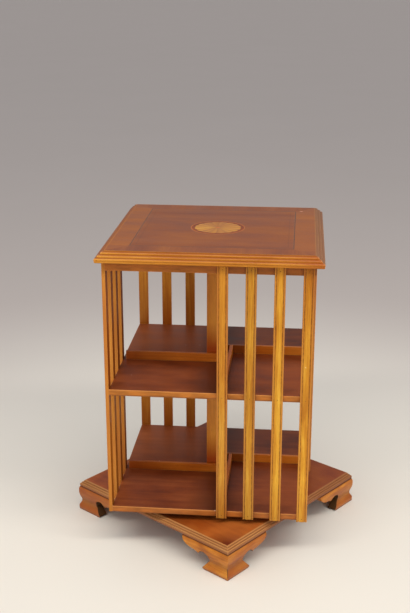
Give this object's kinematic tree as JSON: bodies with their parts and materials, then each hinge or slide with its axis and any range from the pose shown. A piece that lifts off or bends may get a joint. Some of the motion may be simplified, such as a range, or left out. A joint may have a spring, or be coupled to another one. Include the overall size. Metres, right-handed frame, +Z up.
{
  "type": "revolving bookcase",
  "caption": "Square two-tier bookcase with slatted sides and an inlaid moulded top, turning on a spindle over a square base with ogee bracket feet.",
  "frame": {"origin": "on the spindle's axis, at floor level under the feet", "axes": "+Z up along the spindle; the case stands square to X and Y, its front towards -Y; the base stands turned 36.2 degrees clockwise under it, seen from above"},
  "size_m": [0.6702, 0.6702, 0.7067],
  "materials": {
    "golden_wood": "satin polish, straight grain along each piece",
    "red_wood": "satin polish over red-brown stain",
    "column_wood": "satin polish",
    "top_veneer": "satin polish over figured veneer",
    "crossband_veneer": "satin polish, grain across the band",
    "dark_inlay": "satin polish over dark-stained line",
    "fan_inlay": "satin polish, sand-shaded segments in a dark border",
    "pine": "plain sawn, unpolished",
    "steel": "bright turned steel",
    "bearing_steel": "ground and polished, lightly greased",
    "brass": "turned brass"
  },
  "bodies": {
    "base": {"base_board": "red_wood", "foot_glue_blocks": "pine", "base_moulding_front": "golden_wood", "base_moulding_right": "golden_wood", "base_moulding_back": "golden_wood", "base_moulding_left": "golden_wood", "foot_front_left_bracket": "golden_wood", "foot_front_right_bracket": "golden_wood", "foot_right_left_bracket": "golden_wood", "foot_right_right_bracket": "golden_wood", "foot_back_left_bracket": "golden_wood", "foot_back_right_bracket": "golden_wood", "foot_left_left_bracket": "golden_wood", "foot_left_right_bracket": "golden_wood", "spindle": "steel", "spindle_screws": "steel", "spindle_nut": "steel", "bearing_lower_race": "bearing_steel"},
    "case": {"bearing_upper_race": "bearing_steel", "book_stop_lower_back": "column_wood", "book_stop_lower_front": "column_wood", "book_stop_lower_left": "column_wood", "book_stop_lower_right": "column_wood", "book_stop_upper_back": "column_wood", "book_stop_upper_front": "column_wood", "book_stop_upper_left": "column_wood", "book_stop_upper_right": "column_wood", "column": "column_wood", "deck": "red_wood", "lower_shelf": "red_wood", "middle_shelf": "red_wood", "slat_back_1": "golden_wood", "slat_back_2": "golden_wood", "slat_back_3": "golden_wood", "slat_back_4": "golden_wood", "slat_front_1": "golden_wood", "slat_front_2": "golden_wood", "slat_front_3": "golden_wood", "slat_front_4": "golden_wood", "slat_left_1": "golden_wood", "slat_left_2": "golden_wood", "slat_left_3": "golden_wood", "slat_left_4": "golden_wood", "slat_pins": "steel", "slat_right_1": "golden_wood", "slat_right_2": "golden_wood", "slat_right_3": "golden_wood", "slat_right_4": "golden_wood", "spindle_bushes": "brass", "top_board": "top_veneer", "top_crossbands": "crossband_veneer", "top_moulding_back": "golden_wood", "top_moulding_front": "golden_wood", "top_moulding_left": "golden_wood", "top_moulding_right": "golden_wood", "top_patera": "fan_inlay", "top_screws": "steel", "top_stringing": "dark_inlay"},
    "ball_cage": {"bearing_balls": "bearing_steel", "bearing_cage": "brass"}
  },
  "joints": [
    {"name": "case_turn", "type": "hinge", "parent": "base", "child": "case", "pos_m": [0, 0, 0.0867], "axis": [0, 0, 1], "continuous": true},
    {"name": "cage_turn", "type": "hinge", "parent": "base", "child": "ball_cage", "pos_m": [0, 0, 0.0867], "axis": [0, 0, 1], "continuous": true}
  ],
  "couplings": [
    {"joint": "cage_turn", "follows": "case_turn", "ratio": 0.5}
  ]
}
